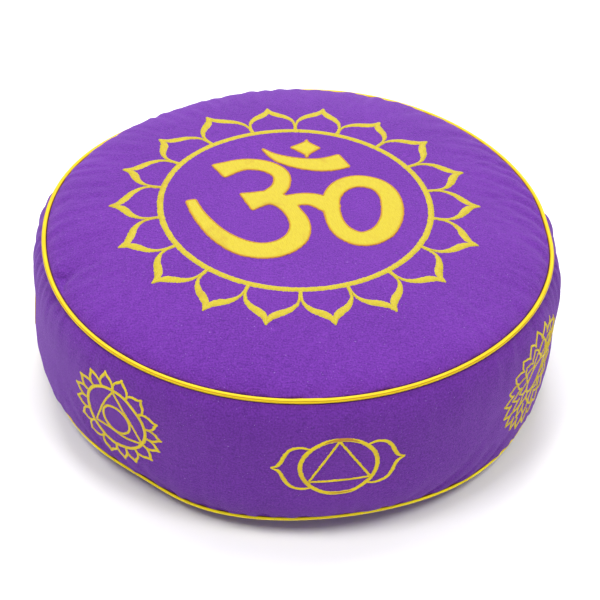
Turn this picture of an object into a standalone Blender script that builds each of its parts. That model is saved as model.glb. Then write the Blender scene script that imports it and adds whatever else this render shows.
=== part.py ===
"""Round meditation cushion with piped seams, modelled for Blender 4.5.

One filled cloth body has a crowned top panel, a side band that is drawn in at both
seams, and a bottom panel that lies flat where it rests. A satin piping cord is sewn
into each seam. Metres, +Z up. The origin is on the floor under the middle of the
cushion, and the front is towards -Y. Azimuths are in degrees, from the front (-Y)
round towards the right (+X).
"""

import math

import bmesh
import bpy

# Driving dimensions, in metres
SIDE_BULGE = 0.0090  # how far the band swells past the seams at mid height
TOP_SEAM_RADIUS = 0.1688
TOP_SEAM_HEIGHT = 0.1138
BOTTOM_SEAM_RADIUS = 0.1684
BOTTOM_SEAM_HEIGHT = 0.0136
CROWN_RISE = 0.0170  # the crown's own rise, on top of the rolled edge
EDGE_ROLL = 0.0030  # how far a panel rises in its rolled edge, close to a seam
EDGE_ROLL_WIDTH = 0.0035
FLAT_RADIUS = 0.1320  # the underside lies on the floor out to here
PIPING_DIAMETER = 0.0036
PIPING_GAP = 0.0004

# Fullness of each panel: higher is flatter in the middle and steeper at the seam
CROWN_FULLNESS = 4.5
CROWN_FULLNESS_SWING = 0.8
FULLEST_AZIMUTH = -145.0
BAND_FULLNESS = 2.6
BELLY_FULLNESS = 2.0

# How the local forms below die away, as shares of the band or of the crown's radius
TUCK_AT_SEAM = 0.35  # share of a tuck's depth that is left where it meets its seam
TUCK_LEAD_IN = 0.12
TUCK_FADE = 1.5  # powers: higher dies away sooner
SWELL_LEAD_IN = 0.10
LUMP_LEAD_IN = 0.05
BAND_ROLL_HALF_SHARE = 0.35
ROLL_FADE = 3.0
LEVEL_FADE = 2.0

# The groove that each piping cord sits in, as angles about the cord's centre,
# measured from straight outwards towards +Z
TOP_GROOVE_FROM, TOP_GROOVE_TO = 300.0, 150.0
BOTTOM_GROOVE_FROM, BOTTOM_GROOVE_TO = 210.0, 60.0

# Mesh density
STATIONS = 108  # columns round the cushion, shared by the body and the cords
GROOVE_STEPS = 4
BAND_STEPS = 12
CROWN_STEPS = 13
CROWN_SPACING = 1.7  # packs the crown's rows towards its seam
BELLY_STEPS = 4
FLAT_RINGS = (0.35, 0.72, 1.0)  # shares of FLAT_RADIUS

MILLIMETRE = 0.001

# Slow waves of each seam: how often it swings in one turn, its swing in millimetres,
# and the azimuth in degrees, times that number, where the swing is widest
TOP_RADIUS_WAVES = (
    # turns, swing_mm, phase_deg
    (2, 2.3, -17.0),
    (3, 1.2, 155.0),
)
TOP_HEIGHT_WAVES = (
    (1, 0.7, 115.0),
    (2, 1.1, 155.0),
    (3, 1.0, 105.0),
)
BOTTOM_RADIUS_WAVES = (
    (2, 1.8, 131.0),
    (4, 1.2, 40.0),
)
BOTTOM_HEIGHT_WAVES = (
    (1, 0.6, -95.0),
    (2, 1.2, -78.0),
    (4, 4.0, 88.0),
)

# Where the filling pushes the cloth over a seam, which sinks in and down there
SEAM_SAGS = (
    # seam, azimuth_deg, half_width_deg, in_mm, down_mm
    ("top", -147.0, 28.0, 2.4, 2.8),
    ("top", -81.0, 24.0, 2.6, 0.2),
    ("top", 95.0, 9.0, 1.3, 0.0),
    ("bottom", -34.0, 11.0, 2.6, -1.6),
    ("bottom", -74.0, 18.0, 2.6, -0.6),
    ("bottom", 66.0, 20.0, 3.2, -0.6),
)

# Where the crown's rolled edge stands higher over its seam
FULL_EDGES = (
    # azimuth_deg, half_width_deg, extra_roll_mm
    (-147.0, 28.0, 3.2),
)

# Where the side band swells more or less than elsewhere
BAND_SWELLS = (
    # azimuth_deg, half_width_deg, share_up, half_share, swell_mm
    (-82.0, 30.0, 0.50, 0.45, -3.8),
    (-118.0, 20.0, 0.85, 0.30, 0.6),
    (-98.0, 16.0, 0.78, 0.30, 2.8),
    (104.0, 12.0, 0.80, 0.28, 1.4),
    (70.0, 28.0, 0.35, 0.35, -4.2),
    (-34.0, 11.0, 0.12, 0.20, 1.8),
)

# Soft tucks in the side band, which fade away from the seam that they start at
BAND_TUCKS = (
    # seam, azimuth_deg, half_width_deg, depth_mm, reach (share of the band), lean_deg
    ("bottom", -48.0, 6.0, 1.6, 0.45, -6.0),
    ("bottom", -27.0, 5.0, 2.0, 0.40, -8.0),
    ("bottom", -14.0, 4.0, 1.2, 0.30, -5.0),
    ("bottom", 33.0, 5.0, 1.8, 0.40, 7.0),
    ("bottom", 47.0, 5.0, 1.4, 0.35, 6.0),
    ("bottom", 118.0, 6.0, 1.6, 0.45, 5.0),
    ("bottom", -128.0, 6.0, 1.6, 0.45, -5.0),
    ("bottom", 170.0, 7.0, 1.2, 0.40, 4.0),
    ("top", 74.0, 6.0, 2.0, 0.75, 8.0),
    ("top", 92.0, 6.0, 2.2, 0.80, 9.0),
    ("top", 112.0, 7.0, 1.6, 0.60, 8.0),
    ("top", -70.0, 6.0, 2.0, 0.75, -9.0),
    ("top", -90.0, 6.0, 2.2, 0.80, -9.0),
    ("top", -110.0, 7.0, 1.6, 0.60, -8.0),
    ("top", 146.0, 7.0, 1.4, 0.50, 6.0),
)

# Soft rises and dips of the top panel
CROWN_LUMPS = (
    # azimuth_deg, radius_mm, half_width_mm, rise_mm
    (-122.0, 142.0, 26.0, 1.2),
    (-66.0, 146.0, 22.0, -2.0),
    (4.0, 150.0, 20.0, -1.6),
    (58.0, 140.0, 28.0, -1.4),
    (100.0, 136.0, 30.0, -1.6),
    (172.0, 148.0, 34.0, -1.4),
)

CLOTH_COLOUR = (0.155, 0.030, 0.430, 1.0)
PIPING_COLOUR = (0.930, 0.640, 0.020, 1.0)


def turn_between(a, b):
    """Signed angle from azimuth b to azimuth a, between -180 and 180 degrees."""
    return (a - b + 180.0) % 360.0 - 180.0


def bell(distance, half_width):
    """A smooth bump: 1 in its middle and close to 0 past twice its half width."""
    return math.exp(-((distance / half_width) ** 2))


def waves_at(waves, azimuth):
    """Sum of a seam's slow waves at one azimuth, in metres."""
    return MILLIMETRE * sum(
        swing * math.cos(math.radians(turns * azimuth - phase))
        for turns, swing, phase in waves
    )


def seam_sag(seam, azimuth):
    """How far a seam sinks inwards and downwards at one azimuth, in metres."""
    sag_in = 0.0
    sag_down = 0.0
    for name, where, half_width, in_mm, down_mm in SEAM_SAGS:
        if name == seam:
            near = MILLIMETRE * bell(turn_between(azimuth, where), half_width)
            sag_in += in_mm * near
            sag_down += down_mm * near
    return sag_in, sag_down


def top_seam(azimuth):
    """Radius and height of the top cord's centre at one azimuth."""
    sag_in, sag_down = seam_sag("top", azimuth)
    radius = TOP_SEAM_RADIUS + waves_at(TOP_RADIUS_WAVES, azimuth) - sag_in
    height = TOP_SEAM_HEIGHT + waves_at(TOP_HEIGHT_WAVES, azimuth) - sag_down
    return radius, height


def bottom_seam(azimuth):
    """Radius and height of the bottom cord's centre at one azimuth."""
    sag_in, sag_down = seam_sag("bottom", azimuth)
    radius = BOTTOM_SEAM_RADIUS + waves_at(BOTTOM_RADIUS_WAVES, azimuth) - sag_in
    height = BOTTOM_SEAM_HEIGHT + waves_at(BOTTOM_HEIGHT_WAVES, azimuth) - sag_down
    return radius, height


def edge_roll(distance, rise=EDGE_ROLL):
    """Rise of a panel's rolled edge at a distance from its seam."""
    return rise * (1.0 - math.exp(-distance / EDGE_ROLL_WIDTH))


def groove(centre, start_deg, end_deg):
    """Points of the hollow that holds a cord, as (radius, height) pairs."""
    reach = PIPING_DIAMETER / 2 + PIPING_GAP
    points = []
    for step in range(GROOVE_STEPS + 1):
        turn = math.radians(start_deg + (end_deg - start_deg) * step / GROOVE_STEPS)
        points.append(
            (centre[0] + reach * math.cos(turn), centre[1] + reach * math.sin(turn))
        )
    return points


def tuck_depth(azimuth, share):
    """Depth of the band's tucks at a share of the way up from bottom to top seam."""
    depth = 0.0
    for seam, where, half_width, depth_mm, reach, lean in BAND_TUCKS:
        away = share if seam == "bottom" else 1.0 - share
        fade = max(0.0, 1.0 - away / reach) ** TUCK_FADE
        hold = min(1.0, TUCK_AT_SEAM + away / TUCK_LEAD_IN)
        off = turn_between(azimuth, where + lean * away)
        depth += depth_mm * MILLIMETRE * fade * hold * bell(off, half_width)
    return depth


def band_swell(azimuth, share):
    """How far the band stands out from its seams at a share of the way up."""
    swell = SIDE_BULGE * (1.0 - abs(2 * share - 1.0) ** BAND_FULLNESS)
    for where, half_width, middle, half_share, swell_mm in BAND_SWELLS:
        near = bell(turn_between(azimuth, where), half_width)
        fade = min(1.0, min(share, 1.0 - share) / SWELL_LEAD_IN)
        swell += swell_mm * MILLIMETRE * near * fade * bell(share - middle, half_share)
    return swell


def crown_roll(azimuth):
    """Rise of the crown's rolled edge at one azimuth."""
    return EDGE_ROLL + sum(
        extra_mm * MILLIMETRE * bell(turn_between(azimuth, where), half_width)
        for where, half_width, extra_mm in FULL_EDGES
    )


def lump_rise(azimuth, radius):
    """Rise of the top panel's soft lumps at one point."""
    rise = 0.0
    for where, lump_radius_mm, half_width_mm, rise_mm in CROWN_LUMPS:
        lump_radius = lump_radius_mm * MILLIMETRE
        turn = math.radians(turn_between(azimuth, where))
        apart = math.sqrt(
            radius**2
            + lump_radius**2
            - 2 * radius * lump_radius * math.cos(turn)
        )
        rise += rise_mm * MILLIMETRE * bell(apart, half_width_mm * MILLIMETRE)
    return rise


def belly_points(inner_edge):
    """Underside between the flat and the bottom groove, from the flat outwards."""
    radius_out, height_out = inner_edge
    points = []
    for step in range(1, BELLY_STEPS):
        share = step / BELLY_STEPS
        radius = FLAT_RADIUS + (radius_out - FLAT_RADIUS) * share
        points.append((radius, height_out * share**BELLY_FULLNESS))
    return points


def band_points(azimuth, low, high):
    """Side band between the grooves' outer lips, from the bottom to the top."""
    points = []
    length = high[1] - low[1]
    for step in range(1, BAND_STEPS):
        share = (1.0 - math.cos(math.pi * step / BAND_STEPS)) / 2
        straight = low[0] + (high[0] - low[0]) * share
        nearest = min(share, 1.0 - share) * length
        out = band_swell(azimuth, share) + edge_roll(nearest)
        out -= EDGE_ROLL * bell(share - 0.5, BAND_ROLL_HALF_SHARE)
        points.append(
            (straight + out - tuck_depth(azimuth, share), low[1] + length * share)
        )
    return points


def crown_points(azimuth, edge):
    """Top panel from the groove's inner lip towards the middle."""
    radius_out, height_out = edge
    fullness = CROWN_FULLNESS + CROWN_FULLNESS_SWING * math.cos(
        math.radians(azimuth - FULLEST_AZIMUTH)
    )
    seam_rise = height_out - TOP_SEAM_HEIGHT
    roll = crown_roll(azimuth)
    points = []
    for step in range(1, CROWN_STEPS + 1):
        share = (step / (CROWN_STEPS + 1)) ** CROWN_SPACING
        radius = radius_out * (1.0 - share)
        rise = CROWN_RISE * (1.0 - (1.0 - share) ** fullness)
        rise += edge_roll(radius_out - radius, roll)
        rise -= (roll - EDGE_ROLL) * (1.0 - (1.0 - share) ** ROLL_FADE)
        rise += lump_rise(azimuth, radius) * min(1.0, share / LUMP_LEAD_IN)
        level = TOP_SEAM_HEIGHT + seam_rise * (1.0 - share) ** LEVEL_FADE
        points.append((radius, level + rise))
    return points


def body_profile(azimuth):
    """The whole section at one azimuth, from under the middle round to the top."""
    bottom_groove = groove(bottom_seam(azimuth), BOTTOM_GROOVE_FROM, BOTTOM_GROOVE_TO)
    top_groove = groove(top_seam(azimuth), TOP_GROOVE_FROM, TOP_GROOVE_TO)
    profile = [(FLAT_RADIUS * share, 0.0) for share in FLAT_RINGS]
    profile += belly_points(bottom_groove[0])
    profile += bottom_groove
    profile += band_points(azimuth, bottom_groove[-1], top_groove[0])
    profile += top_groove
    profile += crown_points(azimuth, top_groove[-1])
    return profile


def place(azimuth, radius, height):
    """A point in the cushion's frame from its azimuth, radius and height."""
    turn = math.radians(azimuth)
    return radius * math.sin(turn), -radius * math.cos(turn), height


def station_azimuths():
    return [360.0 * index / STATIONS for index in range(STATIONS)]


def cloth_material():
    return principled("purple_cloth", CLOTH_COLOUR, 0.85)


def piping_material():
    return principled("yellow_satin", PIPING_COLOUR, 0.38)


def principled(name, colour, roughness):
    material = bpy.data.materials.new(name)
    material.use_nodes = True
    material.diffuse_color = colour
    shader = material.node_tree.nodes["Principled BSDF"]
    shader.inputs["Base Color"].default_value = colour
    shader.inputs["Roughness"].default_value = roughness
    shader.inputs["Metallic"].default_value = 0.0
    return material


def make_body(material):
    """The filled cushion: one closed solid lofted round its profiles."""
    mesh_maker = bmesh.new()
    columns = []
    for azimuth in station_azimuths():
        profile = body_profile(azimuth)
        columns.append(
            [mesh_maker.verts.new(place(azimuth, *point)) for point in profile]
        )
    under = mesh_maker.verts.new((0.0, 0.0, 0.0))
    top_height = sum(column[-1].co.z for column in columns) / STATIONS
    crown = mesh_maker.verts.new((0.0, 0.0, top_height))
    for index, column in enumerate(columns):
        beside = columns[(index + 1) % STATIONS]
        mesh_maker.faces.new((under, beside[0], column[0]))
        mesh_maker.faces.new((crown, column[-1], beside[-1]))
        for low in range(len(column) - 1):
            corners = (column[low], beside[low], beside[low + 1], column[low + 1])
            mesh_maker.faces.new(corners)
    bmesh.ops.recalc_face_normals(mesh_maker, faces=mesh_maker.faces)
    mesh = bpy.data.meshes.new("cushion")
    mesh_maker.to_mesh(mesh)
    mesh_maker.free()
    mesh.shade_smooth()
    mesh.materials.append(material)
    return add_object("cushion", mesh)


def make_piping(name, seam, material):
    """A cord that follows one seam all the way round."""
    curve = bpy.data.curves.new(name, "CURVE")
    curve.dimensions = "3D"
    curve.bevel_depth = PIPING_DIAMETER / 2
    curve.bevel_resolution = 2
    spline = curve.splines.new("POLY")
    spline.points.add(STATIONS - 1)
    for point, azimuth in zip(spline.points, station_azimuths()):
        point.co = (*place(azimuth, *seam(azimuth)), 1.0)
    spline.use_cyclic_u = True
    curve.materials.append(material)
    return add_object(name, curve)


def add_object(name, data):
    made = bpy.data.objects.new(name, data)
    bpy.context.scene.collection.objects.link(made)
    return made


def main():
    for old in list(bpy.data.objects):
        bpy.data.objects.remove(old)
    satin = piping_material()
    make_body(cloth_material())
    make_piping("piping_top", top_seam, satin)
    make_piping("piping_bottom", bottom_seam, satin)


main()
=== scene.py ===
"""Picture of the round meditation cushion: cloth, piping, embroidery, light and camera.

Metres, +Z up, the frame's own coordinates. Azimuths are in degrees, from the front
(-Y) round towards the right (+X), as in the cushion's own source.
"""

import math

import bpy
import numpy as np
from mathutils import Matrix, Vector
from mathutils.bvhtree import BVHTree


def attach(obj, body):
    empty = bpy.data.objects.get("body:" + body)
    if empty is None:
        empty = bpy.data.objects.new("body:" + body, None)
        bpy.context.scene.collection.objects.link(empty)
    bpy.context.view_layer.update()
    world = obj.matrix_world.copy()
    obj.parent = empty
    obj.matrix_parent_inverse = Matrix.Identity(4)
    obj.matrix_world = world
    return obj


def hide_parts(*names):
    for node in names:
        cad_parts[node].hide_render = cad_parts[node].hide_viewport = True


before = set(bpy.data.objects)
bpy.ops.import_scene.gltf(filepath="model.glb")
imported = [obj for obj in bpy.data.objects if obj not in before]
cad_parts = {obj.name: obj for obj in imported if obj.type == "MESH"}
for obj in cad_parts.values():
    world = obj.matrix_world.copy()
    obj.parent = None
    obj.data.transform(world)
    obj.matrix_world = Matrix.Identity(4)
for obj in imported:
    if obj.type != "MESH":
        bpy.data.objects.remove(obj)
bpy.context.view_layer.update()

MILLIMETRE = 0.001

# The cushion's solids, as the frame holds them
STATIONS = 108  # columns round the cushion
FLAT_RADIUS = 0.1320  # the underside lies on the floor out to here
SECTION_CENTRE = (0.120, 0.060)  # radius and height that each section runs round
WELD = 1e-6
BAND_ROWS = (6, 22)  # rows of a section between the two seams
BAND_RADIUS = 0.1720

# How finely the cloth is redrawn
SIM_COLUMNS_PER_STATION = 3
COLUMNS_PER_SIM_COLUMN = 2
ROWS_PER_STEP = 3

# Rows of a section where each panel starts at its seam and ends
PANELS = {
    # name: (row at the seam, last row)
    "crown": (24, 37),
    "band_top": (20, 8),
    "band_bottom": (8, 20),
    "belly": (4, 0),
}

# Folds that show clearly, each fading away from the seam that it starts at
FOLDS = {
    # azimuth_deg, half_width_deg, depth_mm, reach_mm, lean_deg
    "crown": (
        (80, 1.27, 1.3, 26, 5), (86.5, 1.1, 1.3, 30, 6), (93, 1.19, 1.59, 34, 7),
        (98.5, 1.02, 1.3, 30, 7), (104, 1.19, 1.74, 38, 8), (110.5, 1.1, 1.45, 34, 8),
        (116, 1.27, 1.59, 40, 8), (123, 1.1, 1.45, 32, 7), (130, 1.36, 1.59, 38, 6),
        (138, 1.27, 1.3, 30, 5), (147, 1.53, 1.3, 34, 5), (68, 1.6, 0.7, 22, 4),
        (58, 1.6, 0.6, 20, 3), (-62.5, 2.1, 4.2, 11, -2), (-66.5, 1, 1.3, 16, 5),
        (-78, 1.5, 0.7, 24, -4), (-90, 1.6, 0.8, 30, -5), (-103, 1.6, 0.8, 28, -5),
        (5.5, 1.6, 1.2, 12, 3), (14, 1.2, 0.6, 14, 4), (-32, 1.8, 0.7, 16, -2),
    ),
    "band_top": (
        (-57, 1.2, 0.7, 18, -3), (-62.5, 2.1, 3.4, 9, -1), (-68, 0.8, 1.12, 30, -2),
        (-71.5, 0.7, 1, 40, -2), (-75.5, 0.9, 1.25, 52, -2), (-79, 0.7, 1, 44, -1),
        (-83, 0.9, 1.25, 50, -2), (-87.5, 0.9, 1.38, 40, -3), (-92, 1, 1.1, 34, -4),
        (-97, 1, 1, 30, -4), (-103, 1.2, 1, 28, -4), (59, 1, 0.7, 18, 2), (64, 0.9, 0.9, 26, 2),
        (68, 0.8, 1.12, 34, 2), (71.5, 0.7, 1.12, 46, 2), (75, 0.8, 1.38, 56, 2),
        (78.5, 0.7, 1.12, 50, 1), (82, 0.8, 1.38, 58, 2), (86, 0.9, 1.38, 44, 3),
        (91, 1, 1, 40, 4), (97, 1, 1, 36, 4), (104, 1.2, 1, 34, 4),
    ),
    "band_bottom": (
        (-44, 1.36, 2.88, 26, -7), (-36.5, 1.19, 3.24, 30, -9), (-30, 1.1, 2.7, 24, -8),
        (-24.5, 1.02, 2.7, 20, -6), (-18.5, 1.1, 1.3, 13, -4), (-13.5, 1, 1.3, 11, -3),
        (-9.5, 1, 1.2, 9, -2), (-5, 1, 1.2, 10, 0), (0.5, 1, 1.1, 9, 0), (12, 1.2, 1, 10, 2),
        (24, 1.02, 2.21, 14, 4), (31, 1.1, 2.72, 24, 8), (38.5, 1.1, 2.55, 22, 8),
        (47, 1.27, 2.21, 22, 8),
    ),
    "belly": (),
}
FOLD_FADE = 1.6  # power: higher ends a fold sooner
FOLD_WIDENS = 0.5
FOLD_LEAD_IN = 1.5  # millimetres from the seam where a fold is whole
FOLD_AT_SEAM = 0.2

# Small gathers that every seam has all the way round, in a seeded run
GATHERS = (
    # panel, seed, depth_mm, reach_mm, lean_deg
    ("crown", 41, 0.42, 13.0, 2.5),
    ("band_top", 42, 0.40, 12.0, 2.5),
    ("band_bottom", 43, 0.75, 7.0, 2.0),
    ("belly", 44, 0.80, 14.0, 3.0),
)
GATHER_SPACING = (2.2, 5.4)  # degrees
GATHER_HALF_WIDTH = (0.55, 1.15)
GATHER_DEPTHS = (0.3, 1.5)  # shares of the seam's own depth and reach
GATHER_REACHES = (0.5, 1.8)

# How the bottom seam is drawn up, how far the band hangs over its cord, and where
# the lip that hangs over is nicked
FRONT_LIFT = (
    # azimuth_deg, half_width_deg, millimetres
    (7, 24, 1.3),
)
OVERHANG_OUT = 0.8
OVERHANG_DOWN = 0.3
OVERHANG_MIDDLE = 2.6
OVERHANG_REACH = 3.4
LIP_NOTCHES = (
    # azimuth_deg, half_width_deg, millimetres
    (-41, 1.5, 1.4), (-33, 1.2, 1.8), (-26.5, 0.9, 1.6), (-21.5, 0.8, 1.9), (-17.5, 0.7, 2.1),
    (-12.8, 1, 2.7), (-8.6, 0.6, 1.9), (-4.4, 1.1, 2.7), (-1, 0.6, 1.9), (4, 1.3, 2.1),
    (13, 0.8, 1.4), (21, 1, 1.8), (31.5, 1.2, 2.1), (38, 1.2, 1.6),
)

# The cloth simulation that puckers the panels beside their seams
SIM_SEED = 5
SIM_NUDGE = 0.00035
SIM_NUDGE_ROWS = 18.0
SIM_FRAMES = 20
SIM_SETTINGS = {
    "quality": 5,
    "mass": 0.2,
    "tension_stiffness": 30.0,
    "compression_stiffness": 30.0,
    "shear_stiffness": 10.0,
    "bending_stiffness": 0.3,
    "vertex_group_mass": "held",
    "use_pressure": True,
    "uniform_pressure_force": 6.0,
    "vertex_group_shrink": "slack",
    "shrink_min": 0.0,
    "shrink_max": -0.20,
}
SIM_SLACK = (
    # row, reach in rows, share of the stretch
    (6, 3, 0.5), (9.5, 3, 0.5), (19, 3, 0.3), (26.5, 4, 1),
)
SIM_LOOSE_EVERYWHERE = 0.25
SIM_LOOSE = (
    # azimuth_deg, half_width_deg, extra share of the slack
    (108, 42, 0.75), (-96, 24, 0.45),
)
SEAM_ROWS = ((4, 8), (20, 24))
STITCHED_ROW = 30  # from here inwards the embroidery holds the crown flat
SWELL_WINDOW = 24  # degrees of azimuth that count as slow swelling
PUCKER_SHARE = 1.0
PUCKER_CAP = 0.0035

# Embroidery sizes, in millimetres
STITCH_STEP = 0.8
CURVE_TIMES = 12  # points of a smooth curve for each row of its table
STITCH_RISE = 0.55
STITCH_SINK = 0.12
EDGE_JITTER = 0.17
STITCH_SECTION = (
    # share of the half width, share of the rise
    (-1, 0), (-0.62, 0.85), (0, 1), (0.62, 0.85), (1, 0),
)
OM_BOX = (-78.0, -64.0, 72.0, 80.0)
OM_CELL = 0.8
OM_SNAP = 0.55
OM_RISE = 0.75
OM_EDGE_WIDTH = 1.6
OM_STITCH_TURN = 20.0
OM_OUTLINE_WIDTH = 1.15
OM_OUTLINE_RISE = 0.62
OM_OUTLINE_JITTER = 0.12
OM_OUTLINE_LEAST = 8  # corners of the shortest outline worth sewing
END_RISE = 0.3  # share of the rise that is left at a stroke's ends

# Where a stroke is laid from, and how an emblem's width turns into azimuth
RAY_START = 0.300
BAND_MM_PER_DEGREE = 3.07

# Colours, linear
CLOTH_DARK = (0.0515, 0.0084, 0.1483, 1.0)
CLOTH_LIGHT = (0.1516, 0.0310, 0.3300, 1.0)
SHEEN_COLOUR = (0.62, 0.36, 1.0, 1.0)
LINT_COLOUR = (0.55, 0.45, 0.75, 1.0)
SATIN_DARK = (0.5906, 0.3608, 0.0026, 1.0)
SATIN_LIGHT = (0.7594, 0.5772, 0.0131, 1.0)
# The bottom cord's satin: the same yellow satin painted brighter, painted light for the light
# from the front that reaches it
PAINTED_LIT_SATIN_DARK = (0.9266, 0.6691, 0.0024, 1.0)
PAINTED_LIT_SATIN_LIGHT = (0.9820, 0.8675, 0.0128, 1.0)
THREAD_DARK = (0.404, 0.289, 0.006, 1.0)
THREAD_LIGHT = (0.548, 0.465, 0.022, 1.0)
GOLD_DARK = (0.3113, 0.2221, 0.0062, 1.0)
GOLD_LIGHT = (0.5604, 0.4692, 0.0207, 1.0)
SIDE_DARK = (0.5078, 0.3532, 0.0022, 1.0)
SIDE_LIGHT = (0.7673, 0.6082, 0.0094, 1.0)
THREAD_PATCH = (0.3360, 0.1610, 0.0105, 1.0)
EDGING_DARK = (0.3640, 0.1470, 0.0084, 1.0)
EDGING_LIGHT = (0.5040, 0.2520, 0.0210, 1.0)

# The satin cords, and the painted shade on their colour where they go down into the seam
SATIN_PAINTED_SHADE = (0.2300, 0.0640, 0.0040, 1.0)
SATIN_PAINTED_SHADE_FROM = -0.30  # cosine of the angle from the middle of what shows
SATIN_PAINTED_SHADE_TO = 0.12
SATIN_CREASE = 0.16  # radians below that middle, where the satin's fold shows as a thin line of painted shade
SATIN_CREASE_EDGES = (0.965, 0.997)  # cosines of the angle from it, faint and full
SATIN_CREASE_SHADE_SHARE = 0.55
PIPING_FACES = {"piping_top": 45.0, "piping_bottom": -45.0}
PIPING_RADIUS = {"piping_top": 0.00148, "piping_bottom": 0.00145}
PIPING_OUT = 0.0006  # how far the bottom cord is pushed out by the filling
PIPING_RIDGES = 7  # lengthwise folds of the satin round the cord
PIPING_RIDGE = 0.065  # share of the radius
PIPING_TWIST = (
    # times round, swing in radians, phase_deg
    (3, 0.5, 0), (7, 0.4, 40),
)
PIPING_JOIN = (3.9, 2.6, 110.0, 48.0, 0.22)  # azimuth, half width, turn, half turn, share
JOIN_STEEPNESS = 8
PIPING_COLUMNS_PER_STATION = 6
PIPING_SIDES = 28

# Camera, fitted to the photo's outline and seams
CAMERA_LENS = 108.0
CAMERA_SENSOR = 36.0
CAMERA_DISTANCE = 1.2182
CAMERA_ELEVATION = 38.30
CAMERA_TARGET = (0.0035, 0.0, 0.05351)
CAMERA_ROLL = 2.67

# The studio
LIGHTS = (
    # name, azimuth_deg, elevation_deg, distance_m, size_m, power_w
    ("left", -42.0, 60.0, 2.0, 0.6, 18.3),
    ("right", 42.0, 60.0, 2.0, 0.6, 15.8),
    ("overhead", -165.0, 72.0, 2.0, 1.2, 31.0),
    ("rear", 172.0, 28.0, 1.9, 0.7, 8.0),
    ("rim_left", -122.0, 32.0, 1.8, 0.4, 2.0),
    ("rim_right", 122.0, 32.0, 1.8, 0.4, 2.0),
)
WORLD_STRENGTH = 0.34
FLOOR_REACH = 6.0
FLOOR_WHITE = (0.90, 0.90, 0.90, 1.0)


def polar_place(azimuth, radius, height):
    """A point in the cushion's frame from its azimuth, radius and height."""
    turn = np.radians(azimuth)
    return np.stack(
        [radius * np.sin(turn), -radius * np.cos(turn), height + 0.0 * turn], axis=-1
    )


def node_points(name):
    """The distinct corners of one solid of the frame."""
    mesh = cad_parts[name].data
    flat = np.empty(len(mesh.vertices) * 3)
    mesh.vertices.foreach_get("co", flat)
    steps = np.unique(np.round(flat.reshape(-1, 3) / WELD).astype(int), axis=0)
    return steps * WELD


def by_station(points):
    """Each station's points, as a list of arrays of (radius, height) pairs."""
    radius = np.hypot(points[:, 0], points[:, 1])
    azimuth = np.degrees(np.arctan2(points[:, 0], -points[:, 1]))
    station = np.round(azimuth * STATIONS / 360.0).astype(int) % STATIONS
    pairs = np.stack([radius, points[:, 2]], axis=1)
    return [pairs[station == index] for index in range(STATIONS)]


def turn_of(pairs):
    """Angle of each point of a section about the section's centre."""
    return np.arctan2(pairs[:, 1] - SECTION_CENTRE[1], pairs[:, 0] - SECTION_CENTRE[0])


def body_sections():
    """The cushion's section at each station, from the flat underside to the top."""
    points = node_points("cushion")
    radius = np.hypot(points[:, 0], points[:, 1])
    low = points[:, 2] < SECTION_CENTRE[1]
    points = points[np.where(low, radius > FLAT_RADIUS - MILLIMETRE, radius > MILLIMETRE)]
    sections = [pairs[np.argsort(turn_of(pairs))] for pairs in by_station(points)]
    most = max(len(pairs) for pairs in sections)
    whole = [index for index, pairs in enumerate(sections) if len(pairs) == most]
    for index, pairs in enumerate(sections):
        if len(pairs) < most:
            # A solid drops a corner that lies in a flat face, so it is put back here
            before = max((other for other in whole if other < index), default=whole[-1])
            after = min((other for other in whole if other > index), default=whole[0])
            mended = (sections[before] + sections[after]) / 2
            for pair in pairs:
                mended[np.argmin(np.hypot(*(mended - pair).T))] = pair
            sections[index] = mended
    return np.array(sections)


def cord_line(name):
    """Centre of one piping cord at each station, as (radius, height) pairs."""
    return np.array([pairs.mean(axis=0) for pairs in by_station(node_points(name))])


def finer(values, times, closed):
    """Catmull-Rom curve through rows of values, with more rows between them."""
    count = len(values)
    if closed:
        spots = np.arange(count * times) / times
    else:
        spots = np.arange((count - 1) * times + 1) / times
    start = np.minimum(spots.astype(int), count - 1 if closed else count - 2)
    share = (spots - start).reshape([-1] + [1] * (values.ndim - 1))

    def row(offset):
        index = start + offset
        if closed:
            return values[index % count]
        return values[np.clip(index, 0, count - 1)]

    before, here, after, later = row(-1), row(0), row(1), row(2)
    return 0.5 * (
        2 * here
        + (after - before) * share
        + (2 * before - 5 * here + 4 * after - later) * share**2
        + (3 * here - before - 3 * after + later) * share**3
    )


def linked(name, data):
    """A new object of the scene, with its mesh, camera or light."""
    made = bpy.data.objects.new(name, data)
    bpy.context.scene.collection.objects.link(made)
    return made


def new_piece(name, points, faces, uv=None):
    """A mesh object from points, faces and, if given, one UV pair for each corner."""
    mesh = bpy.data.meshes.new(name)
    mesh.from_pydata([tuple(point) for point in points], [], [tuple(f) for f in faces])
    if uv is not None:
        layer = mesh.uv_layers.new(name="weave")
        layer.data.foreach_set("uv", np.asarray(uv, dtype=np.float32).ravel())
    mesh.shade_smooth()
    piece = linked(name, mesh)
    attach(piece, "root")
    return piece


def grid_faces(columns, rows, closed):
    """Faces of a grid whose points are stored column by column."""
    count = columns if closed else columns - 1
    faces = []
    for column in range(count):
        beside = (column + 1) % columns
        for row in range(rows - 1):
            here = column * rows + row
            there = beside * rows + row
            faces.append((here, there, there + 1, here + 1))
    return faces


def grid_weave(first, second):
    """UV pairs for grid_faces: one value grows round the columns, one up the rows."""
    here, there = first[:-1], first[1:]
    low, high = second[:-1], second[1:]
    across = np.stack([here, there, there, here], axis=1)
    up = np.stack([low, low, high, high], axis=1)
    pairs = np.empty((len(here), len(low), 4, 2))
    pairs[..., 0] = across[:, None]
    pairs[..., 1] = up[None]
    return pairs


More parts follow.
